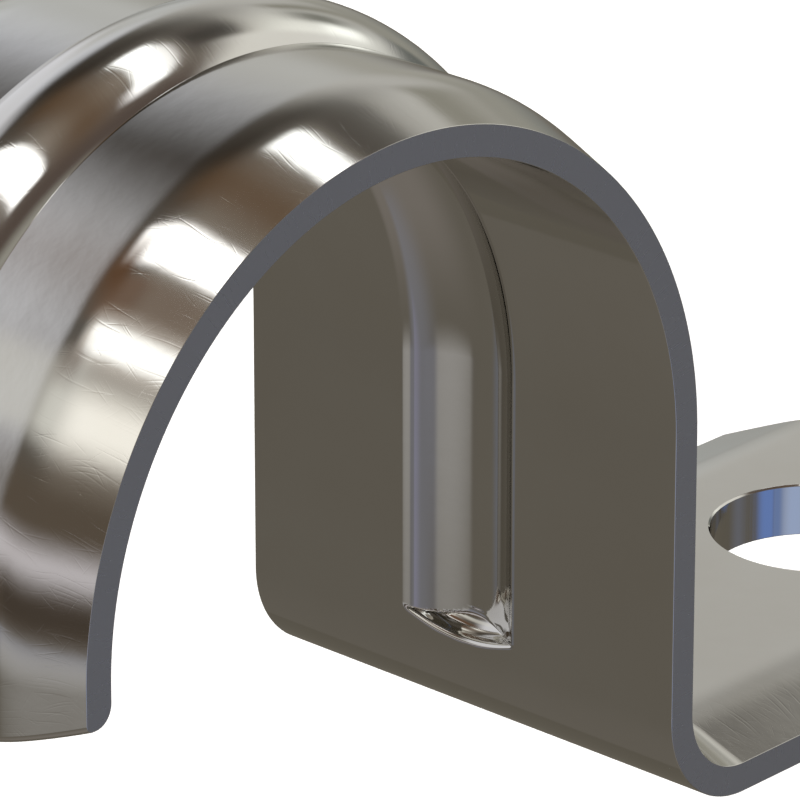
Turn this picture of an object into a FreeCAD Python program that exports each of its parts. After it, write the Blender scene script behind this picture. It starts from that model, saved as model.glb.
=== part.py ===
import FreeCAD, Part
import math
import os

from FreeCAD import Vector

# One-hole pipe strap, pressed and bent from one piece of steel.
# The strap hooks over a round pipe, comes down beside it as a flat leg, turns
# outwards and ends in a foot with one screw hole.
# Frame: the origin is on the pipe's axis, halfway across the strap. Y runs along
# the pipe, X points from the pipe to the foot, Z points away from the wall.
# All lengths are in millimetres and all angles in degrees.

# Pipe and blank
PIPE_RADIUS = 11.7           # seat for a tube of 23.4 mm outside diameter
STRAP_WIDTH = 17.2           # across the strap, along the pipe
SHEET_THICKNESS = 1.78       # in the middle of the strap
EDGE_THICKNESS = 0.96        # at the two long edges, which are pressed thinner
EDGE_SLOPE = 19.0            # slope of the pressed edges
SHOULDER_RADIUS = 5.2        # round turn from the flat middle into that slope

# Path of the strap
BASE_DROP = 12.42            # from the pipe's axis down to the underside of the foot
BEND_RADIUS = 3.4            # on the pipe's side of the bend between leg and foot
HOOK_DROP = 2.65             # how far the hook's tip passes below the pipe's axis
HOOK_END_RADIUS = 24.2       # the outline of the tip bulges with this radius
HOOK_INNER_ROUND = 0.6       # rounding of the tip on the pipe's side
HOOK_OUTER_ROUND = 0.22      # rounding of the tip on the outer side

# Foot
FOOT_REACH = 37.5            # from the pipe's axis to the end of the foot
FOOT_END_RADIUS = 13.5       # the outline of the foot's end
HOLE_REACH = 29.05           # from the pipe's axis to the screw hole
HOLE_DIAMETER = 7.1          # clears a 1/4 inch screw
HOLE_RIM_BREAK = 0.12        # small bevel at the hole's upper rim

# Stiffening bead: raised on the outer side, hollow on the pipe's side
BEAD_HALF_WIDTH = 2.13
BEAD_HEIGHT = 0.98
BEAD_ROOT_ROUND = 0.18       # fillet between the bead and the flat middle
GROOVE_HALF_WIDTH = 2.05
GROOVE_DEPTH = 0.9
GROOVE_LIP_ROUND = 0.2       # rounding of the groove's lip
BEAD_END_BULGE = 6.3         # the ends of the bead bulge with this radius
BEAD_END_ROUND = 0.6         # rounding where the end wall meets the bead's top
BEAD_TO_BEND = 0.02          # flat left between the groove's lip and the bend
BEAD_TO_TIP = 1.35           # flat left between the bead and the hook's tip

# Worked-out sizes
HALF_WIDTH = STRAP_WIDTH / 2
LEG_LENGTH = BASE_DROP - BEND_RADIUS
FOOT_START = PIPE_RADIUS + BEND_RADIUS
BEAD_LEG_DROP = LEG_LENGTH - GROOVE_LIP_ROUND - BEAD_TO_BEND
BEAD_HOOK_DROP = HOOK_DROP - BEAD_TO_TIP
MARGIN = 2.0                 # how far a cutting shape stands clear of what it cuts

Y_AXIS = Vector(0, 1, 0)
Z_AXIS = Vector(0, 0, 1)
CLOSE = 0.001                # points nearer than this count as the same


def line(a, b):
    return Part.LineSegment(a, b).toShape()


def arc(a, middle, b):
    return Part.Arc(a, middle, b).toShape()


def polar(centre, radius, angle):
    """Point of the section plane at an angle from outwards towards +Y."""
    turn = math.radians(angle)
    return centre + Vector(radius * math.cos(turn), radius * math.sin(turn), 0)


def strap_section():
    """Cross-section of the strap: X is outwards from the pipe side, Y is across.

    The pipe side is flat. The outer side is flat in the middle, turns round the
    shoulder and slopes down to the thinner edge.
    """
    drop = SHEET_THICKNESS - EDGE_THICKNESS
    slope = math.radians(EDGE_SLOPE)
    turn_drop = SHOULDER_RADIUS * (1 - math.cos(slope))
    slope_width = (drop - turn_drop) / math.tan(slope)
    flat_half = HALF_WIDTH - slope_width - SHOULDER_RADIUS * math.sin(slope)
    centre = Vector(SHEET_THICKNESS - SHOULDER_RADIUS, flat_half, 0)
    side = [
        polar(centre, SHOULDER_RADIUS, 0),
        polar(centre, SHOULDER_RADIUS, EDGE_SLOPE / 2),
        polar(centre, SHOULDER_RADIUS, EDGE_SLOPE),
        Vector(EDGE_THICKNESS, HALF_WIDTH, 0),
        Vector(0, HALF_WIDTH, 0),
    ]
    other = [Vector(p.x, -p.y, 0) for p in side]
    edges = [
        line(other[0], side[0]),
        arc(side[0], side[1], side[2]),
        line(side[2], side[3]),
        line(side[3], side[4]),
        line(side[4], other[4]),
        line(other[4], other[3]),
        line(other[3], other[2]),
        arc(other[2], other[1], other[0]),
    ]
    return Part.Face(Part.Wire(edges))


def bead_section(offset, half_width, height, root):
    """Round top of the bead, or of the groove, over a root sunk below the offset."""
    edges = [
        line(Vector(root, -half_width, 0), Vector(offset, -half_width, 0)),
        arc(
            Vector(offset, -half_width, 0),
            Vector(offset + height, 0, 0),
            Vector(offset, half_width, 0),
        ),
        line(Vector(offset, half_width, 0), Vector(root, half_width, 0)),
        line(Vector(root, half_width, 0), Vector(root, -half_width, 0)),
    ]
    return Part.Face(Part.Wire(edges))


def over_the_pipe(section):
    """Section swept half a turn round the pipe, from the leg to the hook."""
    face = section.copy()
    face.translate(Vector(PIPE_RADIUS, 0, 0))
    return face.revolve(Vector(0, 0, 0), -Y_AXIS, 180)


def down_the_leg(section, length):
    face = section.copy()
    face.translate(Vector(PIPE_RADIUS, 0, 0))
    return face.extrude(-Z_AXIS * length)


def down_the_hook(section, length):
    face = section.copy()
    face.rotate(Vector(0, 0, 0), Z_AXIS, 180)
    face.translate(Vector(-PIPE_RADIUS, 0, 0))
    return face.extrude(-Z_AXIS * length)


def round_the_bend(section):
    face = section.copy()
    face.translate(Vector(PIPE_RADIUS, 0, -LEG_LENGTH))
    return face.revolve(Vector(FOOT_START, 0, -LEG_LENGTH), -Y_AXIS, 90)


def along_the_foot(section, length):
    face = section.copy()
    face.rotate(Vector(0, 0, 0), Y_AXIS, -90)
    face.translate(Vector(FOOT_START, 0, -BASE_DROP))
    return face.extrude(Vector(length, 0, 0))


def blank():
    """The bent strip before its ends are trimmed."""
    section = strap_section()
    body = over_the_pipe(section)
    pieces = [
        down_the_hook(section, HOOK_DROP + MARGIN),
        down_the_leg(section, LEG_LENGTH),
        round_the_bend(section),
        along_the_foot(section, FOOT_REACH - FOOT_START + MARGIN),
    ]
    return body.multiFuse(pieces).removeSplitter()


def hook_trim():
    """What the press cuts away below the hook's bulging tip."""
    reach = HALF_WIDTH + MARGIN
    rise = HOOK_END_RADIUS - math.sqrt(HOOK_END_RADIUS ** 2 - reach ** 2)
    outer = -PIPE_RADIUS - SHEET_THICKNESS - MARGIN
    floor = -HOOK_DROP - 2 * MARGIN
    tip = Vector(outer, 0, -HOOK_DROP)
    left = Vector(outer, -reach, -HOOK_DROP + rise)
    right = Vector(outer, reach, -HOOK_DROP + rise)
    low_left = Vector(outer, -reach, floor)
    low_right = Vector(outer, reach, floor)
    edges = [
        arc(left, tip, right),
        line(right, low_right),
        line(low_right, low_left),
        line(low_left, left),
    ]
    face = Part.Face(Part.Wire(edges))
    return face.extrude(Vector(SHEET_THICKNESS + 2 * MARGIN, 0, 0))


def foot_trim():
    """What the press cuts away past the foot's round end."""
    reach = HALF_WIDTH + MARGIN
    fall = FOOT_END_RADIUS - math.sqrt(FOOT_END_RADIUS ** 2 - reach ** 2)
    floor = -BASE_DROP - MARGIN
    tip = Vector(FOOT_REACH, 0, floor)
    left = Vector(FOOT_REACH - fall, -reach, floor)
    right = Vector(FOOT_REACH - fall, reach, floor)
    far_left = Vector(FOOT_REACH + 2 * MARGIN, -reach, floor)
    far_right = Vector(FOOT_REACH + 2 * MARGIN, reach, floor)
    edges = [
        arc(left, tip, right),
        line(right, far_right),
        line(far_right, far_left),
        line(far_left, left),
    ]
    face = Part.Face(Part.Wire(edges))
    return face.extrude(Z_AXIS * (SHEET_THICKNESS + 2 * MARGIN))


def screw_hole():
    """Drill for the hole in the foot, with the small bevel of its upper rim."""
    radius = HOLE_DIAMETER / 2
    floor = Vector(HOLE_REACH, 0, -BASE_DROP - MARGIN)
    drill = Part.makeCylinder(radius, SHEET_THICKNESS + 2 * MARGIN, floor)
    rim = Vector(HOLE_REACH, 0, -BASE_DROP + SHEET_THICKNESS - HOLE_RIM_BREAK)
    bevel = Part.makeCone(radius, radius + 2 * HOLE_RIM_BREAK, 2 * HOLE_RIM_BREAK, rim)
    return drill.fuse(bevel)


def end_limit(top, root, drop, side):
    """Room that a bead or groove keeps within, closed by its bulging end wall.

    side is 1 on the leg and -1 on the hook. The wall stands square to the strap,
    bulges down to the given drop and rounds over into the top.
    """
    x_root = side * (PIPE_RADIUS + root)
    x_top = side * (PIPE_RADIUS + top)
    x_turn = side * (PIPE_RADIUS + top - BEAD_END_ROUND)
    x_middle = side * (PIPE_RADIUS + top - BEAD_END_ROUND * (1 - math.sqrt(0.5)))
    z_axis = BEAD_END_BULGE - drop
    z_middle = BEAD_END_ROUND * (1 - math.sqrt(0.5)) - drop
    edges = [
        line(Vector(x_root, 0, z_axis), Vector(x_root, 0, -drop)),
        line(Vector(x_root, 0, -drop), Vector(x_turn, 0, -drop)),
        arc(
            Vector(x_turn, 0, -drop),
            Vector(x_middle, 0, z_middle),
            Vector(x_top, 0, BEAD_END_ROUND - drop),
        ),
        line(Vector(x_top, 0, BEAD_END_ROUND - drop), Vector(x_top, 0, z_axis)),
        line(Vector(x_top, 0, z_axis), Vector(x_root, 0, z_axis)),
    ]
    face = Part.Face(Part.Wire(edges))
    end = face.revolve(Vector(0, 0, z_axis), Vector(1, 0, 0), 360)
    corner = Vector(min(x_root, x_top), -BEAD_END_BULGE, z_axis)
    above = Part.makeBox(abs(x_top - x_root), 2 * BEAD_END_BULGE, drop, corner)
    return end.fuse(above)


def bead(offset, half_width, height, root):
    """Bead or groove over the pipe, with its two round ends."""
    section = bead_section(offset, half_width, height, root)
    top = offset + height
    leg = down_the_leg(section, BEAD_LEG_DROP)
    leg = leg.common(end_limit(top, root, BEAD_LEG_DROP, 1))
    hook = down_the_hook(section, BEAD_HOOK_DROP)
    hook = hook.common(end_limit(top, root, BEAD_HOOK_DROP, -1))
    return over_the_pipe(section).multiFuse([leg, hook]).removeSplitter()


def offset_of(point):
    """Distance of a point of the arch, leg or hook from the pipe's side of the sheet."""
    if point.z > 0:
        return math.hypot(point.x, point.z) - PIPE_RADIUS
    return abs(point.x) - PIPE_RADIUS


def spread(edge):
    """Four points of an edge, from its start to its end."""
    first, last = edge.ParameterRange
    return [edge.valueAt(first + (last - first) * share) for share in (0, 0.3, 0.7, 1)]


def rim_edges(shape, offset, half_width):
    """Edges where a bead or groove leaves the sheet's surface at the offset."""
    found = []
    for edge in shape.Edges:
        points = spread(edge)
        level = all(abs(offset_of(point) - offset) < CLOSE for point in points)
        inside = all(abs(point.y) < half_width + CLOSE for point in points)
        if level and inside:
            found.append(edge)
    return found


def tip_edges(shape, outer):
    """Edges round the hook's tip, on its outer side or on the pipe's side."""
    axis_z = HOOK_END_RADIUS - HOOK_DROP
    found = []
    for edge in shape.Edges:
        points = spread(edge)
        radii = [math.hypot(point.y, point.z - axis_z) for point in points]
        on_tip = all(abs(radius - HOOK_END_RADIUS) < CLOSE for radius in radii)
        offsets = [-point.x - PIPE_RADIUS for point in points]
        if outer:
            on_side = all(offset > EDGE_THICKNESS - CLOSE for offset in offsets)
        else:
            on_side = all(abs(offset) < CLOSE for offset in offsets)
        if on_tip and on_side:
            found.append(edge)
    return found


def build():
    strap = blank().cut([hook_trim(), foot_trim()])
    strap = strap.makeFillet(HOOK_INNER_ROUND, tip_edges(strap, outer=False))
    strap = strap.makeFillet(HOOK_OUTER_ROUND, tip_edges(strap, outer=True))
    raised = bead(SHEET_THICKNESS, BEAD_HALF_WIDTH, BEAD_HEIGHT, SHEET_THICKNESS / 2)
    strap = strap.fuse(raised)
    hollow = bead(0, GROOVE_HALF_WIDTH, GROOVE_DEPTH, -MARGIN)
    strap = strap.cut(hollow).removeSplitter()
    roots = rim_edges(strap, SHEET_THICKNESS, BEAD_HALF_WIDTH)
    strap = strap.makeFillet(BEAD_ROOT_ROUND, roots)
    lips = rim_edges(strap, 0, GROOVE_HALF_WIDTH)
    strap = strap.makeFillet(GROOVE_LIP_ROUND, lips)
    return strap.cut(screw_hole()).removeSplitter()


if __name__ == "__main__":
    os.makedirs("parts", exist_ok=True)
    pipe_strap = build()
    solid = pipe_strap.Solids[0]
    print("solids", len(pipe_strap.Solids), "closed", solid.isClosed(), "valid", solid.isValid())
    print("volume", round(solid.Volume, 1), "size", solid.BoundBox)
    solid.exportStep("parts/pipe_strap.step")
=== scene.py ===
"""Studio picture of a one-hole pipe strap, pressed and bent from zinc-plated steel.

The strap is drawn as one closed mesh, laid out on the unrolled sheet and then bent along
the strap's path, so every highlight runs over clean surfaces. Lengths in the classes are
millimetres. The frame is the model's own: the origin is on the pipe's axis, halfway
across the strap, Y runs along the pipe, X points to the foot and Z away from the wall.
"""

import logging
import math
from dataclasses import dataclass, field
from enum import Enum
from typing import Optional

import bpy
import numpy as np
from mathutils import Matrix, Vector


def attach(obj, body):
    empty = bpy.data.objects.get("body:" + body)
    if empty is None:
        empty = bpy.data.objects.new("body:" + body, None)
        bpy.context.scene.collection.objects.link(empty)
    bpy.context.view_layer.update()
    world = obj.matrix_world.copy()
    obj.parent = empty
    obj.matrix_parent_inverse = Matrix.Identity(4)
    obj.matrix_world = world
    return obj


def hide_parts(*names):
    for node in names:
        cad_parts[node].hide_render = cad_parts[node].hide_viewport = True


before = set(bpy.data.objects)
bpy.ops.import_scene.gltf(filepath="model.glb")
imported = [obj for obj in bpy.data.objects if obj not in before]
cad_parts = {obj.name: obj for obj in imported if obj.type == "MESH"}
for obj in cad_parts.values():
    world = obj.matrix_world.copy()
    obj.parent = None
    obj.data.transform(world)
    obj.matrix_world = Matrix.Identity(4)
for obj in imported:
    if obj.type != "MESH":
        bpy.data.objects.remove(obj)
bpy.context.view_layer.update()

LOG = logging.getLogger("strap")
MM = 0.001
FAR_UP = -50.0  # Distance down in mm at which a rib's end isn't felt.
Array = np.ndarray
Span = tuple[float, float]
Tree = bpy.types.NodeTree
Socket = bpy.types.NodeSocket


class Side(Enum):
    """The two broad faces of the sheet."""

    OUTER = "outer"
    PIPE = "pipe"


class Dress(Enum):
    """Which finish a face of the strap wears, by material slot."""

    SHEET = 0
    SHELTERED = 1
    SHEARED = 2


def linear(code: str) -> tuple[float, float, float, float]:
    """Turn an sRGB hex code into a linear colour.

    Args:
        code: Six hex digits, such as "9A9B9C".

    Returns:
        Linear red, green, blue and an alpha of 1.
    """
    parts = [int(code[i : i + 2], 16) / 255 for i in (0, 2, 4)]
    turned = [p / 12.92 if p <= 0.04045 else ((p + 0.055) / 1.055) ** 2.4 for p in parts]
    return (turned[0], turned[1], turned[2], 1.0)


def smooth_step(value: Array) -> Array:
    """Ease a share from 0 to 1 with level ends."""
    share = np.clip(value, 0.0, 1.0)
    return share * share * (3.0 - 2.0 * share)


def rounded_overlap(first: Array, second: Array, radius: float) -> Array:
    """Distance to what two shapes share, with the edge between them rounded.

    Args:
        first: Distance to the first shape, negative inside it.
        second: Distance to the second shape, negative inside it.
        radius: Rounding radius of the edge.

    Returns:
        Distance to the shared shape, negative inside it.
    """
    a = np.maximum(first + radius, 0.0)
    b = np.maximum(second + radius, 0.0)
    return np.minimum(np.maximum(first, second), -radius) + np.hypot(a, b)


def rounded_join(first: Array, second: Array, radius: float) -> Array:
    """Distance to two shapes joined, with the corner between them filled round.

    Args:
        first: Distance to the first shape, negative inside it.
        second: Distance to the second shape, negative inside it.
        radius: Radius of the fill.

    Returns:
        Distance to the joined shape, negative inside it.
    """
    return -rounded_overlap(-first, -second, radius)


@dataclass(frozen=True)
class StrapPath:
    """Run of the sheet's pipe side, seen along the pipe.

    The run is measured along the pipe side: negative on the hook, zero where the hook
    meets the half turn over the pipe, then round the pipe, down the leg, round the bend
    and out along the foot.
    """

    pipe_radius: float = 11.7
    base_drop: float = 12.42
    bend_radius: float = 3.4

    @property
    def leg_start(self) -> float:
        """Run at which the half turn ends and the leg starts."""
        return math.pi * self.pipe_radius

    @property
    def leg_length(self) -> float:
        """Straight length of the leg."""
        return self.base_drop - self.bend_radius

    @property
    def bend_start(self) -> float:
        """Run at which the leg ends and the bend starts."""
        return self.leg_start + self.leg_length

    @property
    def foot_start(self) -> float:
        """Run at which the bend ends and the foot starts."""
        return self.bend_start + math.pi / 2 * self.bend_radius

    def foot_run(self, reach: Array) -> Array:
        """Run of a point of the foot, from its reach along X."""
        return self.foot_start + (reach - self.pipe_radius - self.bend_radius)

    def stand(self, run: Array) -> tuple[Array, Array, Array]:
        """Find where the sheet's pipe side is and how it stands there.

        Args:
            run: Distances along the pipe side, any shape.

        Returns:
            Points, unit vectors along the run and unit vectors out of the pipe side,
            each with a last axis of X and Z.
        """
        run = np.asarray(run, float)
        radius, bend = self.pipe_radius, self.bend_radius
        over = np.pi - np.clip(run, 0.0, self.leg_start) / radius
        turn = np.clip(run - self.bend_start, 0.0, np.pi / 2 * bend) / bend
        on_hook, on_arch = run < 0.0, run < self.leg_start
        on_leg, on_bend = run < self.bend_start, run < self.foot_start
        zero, one = np.zeros_like(run), np.ones_like(run)
        stages = [on_hook, on_arch, on_leg, on_bend]
        centre_x = radius + bend
        x = np.select(
            stages,
            [-radius * one, radius * np.cos(over), radius * one, centre_x - bend * np.cos(turn)],
            centre_x + run - self.foot_start,
        )
        z = np.select(
            stages,
            [run, radius * np.sin(over), self.leg_start - run, bend - self.base_drop - bend * np.sin(turn)],
            -self.base_drop,
        )
        out_x = np.select(stages, [-one, np.cos(over), one, np.cos(turn)], zero)
        out_z = np.select(stages, [zero, np.sin(over), zero, np.sin(turn)], one)
        along = np.stack([out_z, -out_x], -1)
        return np.stack([x, z], -1), along, np.stack([out_x, out_z], -1)

    def bend_sheet(self, flat: Array, facing: Array) -> tuple[Array, Array]:
        """Carry points of the unrolled sheet to where the bent strap has them.

        Args:
            flat: Points as run, distance across and height over the pipe side.
            facing: Unit normals in the same three directions.

        Returns:
            Points and unit normals as X, Y, Z in millimetres.
        """
        point, along, out = self.stand(flat[..., 0])
        height = flat[..., 2]
        where = np.stack(
            [point[..., 0] + out[..., 0] * height, flat[..., 1], point[..., 1] + out[..., 1] * height],
            -1,
        )
        normal = np.stack(
            [
                along[..., 0] * facing[..., 0] + out[..., 0] * facing[..., 2],
                facing[..., 1],
                along[..., 1] * facing[..., 0] + out[..., 1] * facing[..., 2],
            ],
            -1,
        )
        return where, normal


@dataclass(frozen=True)
class SheetSection:
    """Thickness of the sheet across the strap: flat, then rolled thinner to the edges."""

    width: float = 17.2
    middle: float = 1.78
    edge: float = 0.96
    slope: float = 19.0
    roll_width: float = 2.0

    @property
    def half(self) -> float:
        """Half the strap's width."""
        return self.width / 2

    @property
    def steep(self) -> float:
        """Full slope of the rolled edge, as rise over run."""
        return math.tan(math.radians(self.slope))

    @property
    def roll_start(self) -> float:
        """Distance from the middle at which the face starts to roll down."""
        return self.half - (self.middle - self.edge) / self.steep - self.roll_width / 2

    def steepness(self, across: Array) -> Array:
        """Slope of the outer face: nought in the middle, full near the edges."""
        share = smooth_step((np.abs(across) - self.roll_start) / self.roll_width)
        return -self.steep * share * np.sign(across)

    def thickness(self, across: Array) -> Array:
        """Sheet thickness at a distance from the middle.

        Args:
            across: Distances from the middle line, either sign.

        Returns:
            Thickness at each of them.
        """
        share = (np.abs(across) - self.roll_start) / self.roll_width
        rolled = np.clip(share, 0.0, 1.0)
        turn = self.roll_width * (rolled**3 - 0.5 * rolled**4)
        straight = np.maximum(share - 1.0, 0.0) * self.roll_width
        return self.middle - self.steep * (turn + straight)


@dataclass(frozen=True)
class PressedRib:
    """Bump that a press leaves along the strap: the raised bead, or its hollow.

    The crown is round across the strap. Each end is a wall that bulges down the strap
    and rounds over into the crown. Heights are measured from the sheet's face.
    """

    half_width: float
    height: float
    root_round: float
    end_bulge: float = 6.3
    end_round: float = 0.6
    crease_round: float = 0.03
    leg_drop: float = 8.8
    hook_drop: float = 1.3
    gradient_step: float = 1e-4
    settle_rounds: int = 12
    settle_pull: float = 0.9
    least_slope: float = 0.5
    halvings: int = 40
    search_margin: float = 0.01

    @property
    def crown_radius(self) -> float:
        """Radius of the crown's arc across the strap."""
        return (self.half_width**2 + self.height**2) / (2 * self.height)

    @property
    def clear_half(self) -> float:
        """Distance from the middle beyond which the face is plain."""
        return self.half_width + 3 * self.root_round

    def level(self, down: Array, across: Array, height: Array, drop: float) -> Array:
        """Signed distance to the rib and the face that it stands on.

        Args:
            down: Distance down the leg or the hook.
            across: Distance from the middle line.
            height: Height over the sheet's face.
            drop: Distance down at which the rib's end lies.

        Returns:
            Nought on the surface, negative inside the metal.
        """
        crown = np.hypot(across, height - self.height + self.crown_radius) - self.crown_radius
        reach = np.hypot(across, np.maximum(down - drop + self.end_bulge, 0.0)) - self.end_bulge
        past = reach + self.end_round
        above = height - self.height + self.end_round
        end = np.hypot(np.maximum(past, 0.0), np.maximum(above, 0.0)) - self.end_round + np.minimum(past, 0.0)
        rib = rounded_overlap(crown, end, self.crease_round)
        return rounded_join(height, rib, self.root_round)

    def slope_of(self, spots: Array, drop: float) -> tuple[Array, Array]:
        """Measure the signed distance and its gradient.

        Args:
            spots: Points as distance down, across and height.
            drop: Distance down at which the rib's end lies.

        Returns:
            The signed distances and their gradients.
        """
        parts = []
        for axis in range(3):
            shift = np.zeros(3)
            shift[axis] = self.gradient_step
            ahead, behind = spots + shift, spots - shift
            rise = self.level(*np.moveaxis(ahead, -1, 0), drop)
            rise = rise - self.level(*np.moveaxis(behind, -1, 0), drop)
            parts.append(rise / (2 * self.gradient_step))
        return self.level(*np.moveaxis(spots, -1, 0), drop), np.stack(parts, -1)

    def settle(self, spots: Array, drop: float) -> tuple[Array, Array]:
        """Move points near the rib onto its surface.

        Args:
            spots: Points as distance down, across and height.
            drop: Distance down at which the rib's end lies.

        Returns:
            The moved points and the unit normals there.
        """
        moved = spots.copy()
        for _ in range(self.settle_rounds):
            value, slope = self.slope_of(moved, drop)
            steep = np.maximum((slope**2).sum(-1, keepdims=True), self.least_slope**2)
            moved -= self.settle_pull * value[..., None] * slope / steep
        _, slope = self.slope_of(moved, drop)
        return moved, slope / np.linalg.norm(slope, axis=-1, keepdims=True)

    def crown(self, across: Array) -> Array:
        """Height of the rib far from its ends, by halving the interval.

        Args:
            across: Distances from the middle line.

        Returns:
            Height over the sheet's face at each of them.
        """
        low = np.full_like(across, -self.search_margin)
        high = np.full_like(across, self.height + self.search_margin)
        far = np.full_like(across, FAR_UP)
        for _ in range(self.halvings):
            middle = (low + high) / 2
            inside = self.level(far, across, middle, 0.0) < 0
            low, high = np.where(inside, middle, low), np.where(inside, high, middle)
        return (low + high) / 2

    def wall_drop(self, across: Array, drop: float) -> Array:
        """Distance down of the end wall, levelled off past the rib's sides."""
        kept = np.minimum(np.abs(across), self.clear_half)
        return drop - self.end_bulge + np.sqrt(self.end_bulge**2 - kept**2)


@dataclass
class PipeStrap:
    """The whole strap: bent sheet, raised bead and hollow, trimmed tip, foot and hole.

    The fields from close_rows on only say where the grid's rows and rings lie. The close
    rows lie round a rib's end wall, from so far before it to so far behind it, but leave
    some of the length past it free and start at least so far down. Towards the strap's
    edges they spread to two shares of the length, fully so from a margin inside the edge.
    A point so far past a rib's side is left on the plain face. The rings run at shares of
    the way from the foot's open square to the hole.
    """

    path: StrapPath = field(default_factory=StrapPath)
    section: SheetSection = field(default_factory=SheetSection)
    bead: PressedRib = field(default_factory=lambda: PressedRib(2.13, 0.98, 0.003))
    hollow: PressedRib = field(default_factory=lambda: PressedRib(2.14, 0.90, 0.16))
    hook_drop: float = 2.65
    hook_end_radius: float = 24.2
    hook_pipe_round: float = 0.6
    hook_outer_round: float = 0.22
    foot_reach: float = 37.5
    foot_end_radius: float = 13.5
    hole_reach: float = 29.05
    hole_radius: float = 3.55
    hole_bevel: float = 0.06
    edge_round: float = 0.022
    block_half: float = 4.6
    close_rows: Span = (0.72, 0.24)
    close_rows_share: float = 0.9
    close_rows_least: float = 0.04
    edge_margin: float = 1.0
    plain_margin: float = 0.02
    hook_edge_rows: Span = (0.25, 0.7)
    leg_edge_rows: Span = (0.88, 0.975)
    ring_shares: tuple[float, ...] = (0.3, 0.56, 0.78, 0.93)
    rows: dict[str, int] = field(
        default_factory=lambda: {
            "end_far": 5,
            "end_wall": 34,
            "end_near": 12,
            "arch": 108,
            "bend": 26,
            "foot_near": 8,
            "block": 16,
            "foot_far": 6,
        }
    )

    def columns(self) -> Array:
        """Distances across the strap at which the grid's columns run, both sides."""
        roll_end = self.section.roll_start + self.section.roll_width
        # Each stretch ends at the distance and has that many columns. The short third one
        # holds the crease at the bead's root.
        stops = [
            (1.7, 11),
            (2.124, 8),
            (2.136, 1),
            (2.5, 7),
            (self.block_half, 6),
            (self.section.roll_start, 1),
            (roll_end, 14),
            (self.section.half - self.edge_round, 4),
        ]
        starts = [0.0] + [end for end, _ in stops]
        side = np.concatenate([np.linspace(a, b, n + 1)[1:] for a, (b, n) in zip(starts, stops)])
        return np.concatenate([-side[::-1], [0.0], side])

    def end_shares(self, rib: PressedRib, across: Array, drop: float, length: Array) -> Array:
        """Spread the rows of a rib's end zone down each column.

        Rows crowd round the end wall where the rib is and thin out to the strap's edges.

        Args:
            rib: The bead or the hollow.
            across: Distance of each column from the middle.
            drop: Distance down at which the rib's end lies.
            length: Straight length that each column has for the zone.

        Returns:
            Distances along each column's outline, rows by columns.
        """
        rise = np.where(np.abs(across) < rib.clear_half, rib.crown(across), 0.0)
        whole = length + rise
        wall = rib.wall_drop(across, drop)
        before, behind = self.close_rows
        first = np.maximum(wall - before, self.close_rows_least) / whole
        last = (wall + rise + np.minimum(behind, self.close_rows_share * (length - wall))) / whole
        edge = np.abs(across) - rib.clear_half
        share = smooth_step(edge / (self.section.half - rib.clear_half - self.edge_margin))
        edge_rows = self.hook_edge_rows if drop == rib.hook_drop else self.leg_edge_rows
        first = first * (1 - share) + edge_rows[0] * share
        last = last * (1 - share) + edge_rows[1] * share
        far = np.linspace(0.0, 1.0, self.rows["end_near"] + 1)[:-1, None] * first
        near = first + np.linspace(0.0, 1.0, self.rows["end_wall"] + 1)[:-1, None] * (last - first)
        rest = last + np.linspace(0.0, 1.0, self.rows["end_far"] + 1)[:, None] * (1 - last)
        return np.concatenate([far, near, rest]) * whole

    def end_zone(self, rib: PressedRib, across: Array, drop: float, length: Array) -> tuple[Array, Array]:
        """Lay out one end of a rib on the straight sheet round it.

        Args:
            rib: The bead or the hollow.
            across: Distance of each column from the middle.
            drop: Distance down at which the rib's end lies.
            length: Straight length that each column has for the zone.

        Returns:
            Points as distance down, across and height over the face, and their normals.
        """
        travel = self.end_shares(rib, across, drop, length)
        rise = np.where(np.abs(across) < rib.clear_half, rib.crown(across), 0.0)
        wall = rib.wall_drop(across, drop)
        down = np.where(travel < wall, travel, np.where(travel < wall + rise, wall, travel - rise))
        height = np.where(travel < wall, rise, np.where(travel < wall + rise, wall + rise - travel, 0.0))
        spots = np.stack([down, np.broadcast_to(across, down.shape), height], -1)
        moved, normal = rib.settle(spots, drop)
        plain = (np.abs(spots[..., 1]) > rib.clear_half + self.plain_margin)[..., None]
        return np.where(plain, spots, moved), np.where(plain, [0.0, 0.0, 1.0], normal)

    def face(self, side: Side, across: Array) -> tuple[Array, Array]:
        """Lay out one broad face, from the hook's tip to the foot's end.

        Args:
            side: Which face.
            across: Distance of each column from the middle.

        Returns:
            Points as run, across and height over the pipe side, and outward normals.
        """
        outer = side is Side.OUTER
        rib = self.bead if outer else self.hollow
        tip_round = self.hook_outer_round if outer else self.hook_pipe_round
        tip = self.tip_run(across, self.hook_end_radius - tip_round)
        hook_spots, hook_normal = self.end_zone(rib, across, rib.hook_drop, -tip)
        hook_spots, hook_normal = hook_spots[::-1].copy(), hook_normal[::-1].copy()
        hook_spots[..., 0] *= -1
        hook_normal[..., 0] *= -1
        full = np.full_like(across, self.path.leg_length)
        leg_spots, leg_normal = self.end_zone(rib, across, rib.leg_drop, full)
        leg_spots[..., 0] += self.path.leg_start
        arch_runs = np.linspace(0.0, self.path.leg_start, self.rows["arch"] + 1)[1:-1, None]
        arch_spots, arch_normal = self.straight_rows(rib, across, arch_runs)
        block_from = self.path.foot_run(self.hole_reach - self.block_half)
        block_to = self.path.foot_run(self.hole_reach + self.block_half)
        bend = np.linspace(self.path.bend_start, self.path.foot_start, self.rows["bend"] + 1)[1:]
        near = np.linspace(self.path.foot_start, block_from, self.rows["foot_near"] + 1)[1:]
        block = np.linspace(block_from, block_to, self.rows["block"] + 1)[1:]
        foot_rows = np.concatenate([bend, near, block])[:, None] * np.ones_like(across)
        end = self.foot_end_run(across, self.foot_end_radius - self.edge_round)
        share = np.linspace(0.0, 1.0, self.rows["foot_far"] + 1)[1:, None]
        last_rows = block_to + share * (end - block_to)
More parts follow.
